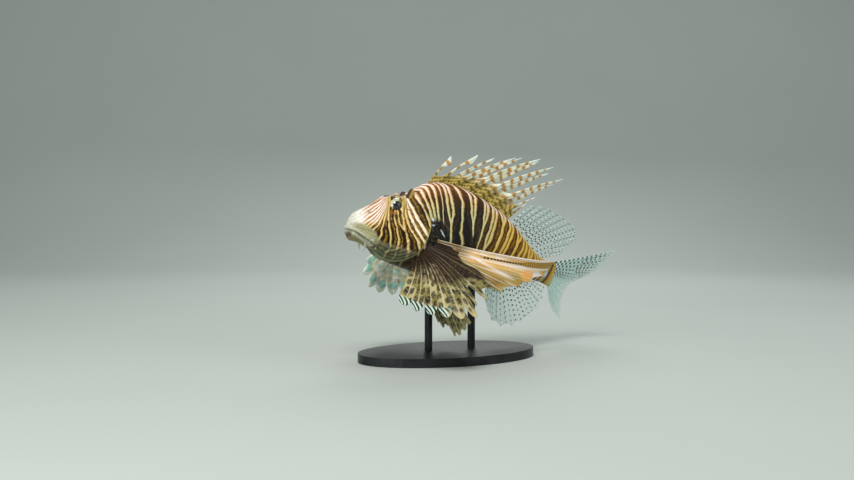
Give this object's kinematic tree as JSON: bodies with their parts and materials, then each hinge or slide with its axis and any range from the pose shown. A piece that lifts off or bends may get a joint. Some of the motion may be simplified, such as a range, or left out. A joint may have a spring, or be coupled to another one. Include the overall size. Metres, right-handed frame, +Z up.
{
  "type": "red lionfish model",
  "caption": "Life-size red lionfish in a swimming pose with spread fan-like pectoral fins and free dorsal spines, held on two rods over an oval base.",
  "frame": {"origin": "middle of the underside of the stand's base", "axes": "+Z up, the fish's snout towards -X and its tail towards +X, its left side towards -Y"},
  "size_m": [0.2932, 0.1822, 0.1843],
  "materials": {
    "skin": "satin painted skin",
    "jaw": "satin painted skin",
    "fin": "satin, translucent at the edges",
    "eye": "clear gloss",
    "stand": "satin black"
  },
  "bodies": {
    "root": {"head": "skin", "upper_jaw": "jaw", "lower_jaw": "jaw", "eye_left": "eye", "eye_right": "eye", "gill_cover_left": "skin", "gill_cover_right": "skin", "brow_tentacle_left": "skin", "brow_tentacle_right": "skin", "torso": "skin", "tail_stalk": "skin", "dorsal_fin_spines": "fin", "dorsal_fin_soft": "fin", "anal_fin": "fin", "tail_fin": "fin", "pectoral_fin_left": "fin", "pectoral_fin_right": "fin", "pelvic_fin_left": "fin", "pelvic_fin_right": "fin", "stand_base": "stand", "stand_rod_front": "stand", "stand_rod_rear": "stand"}
  },
  "joints": []
}
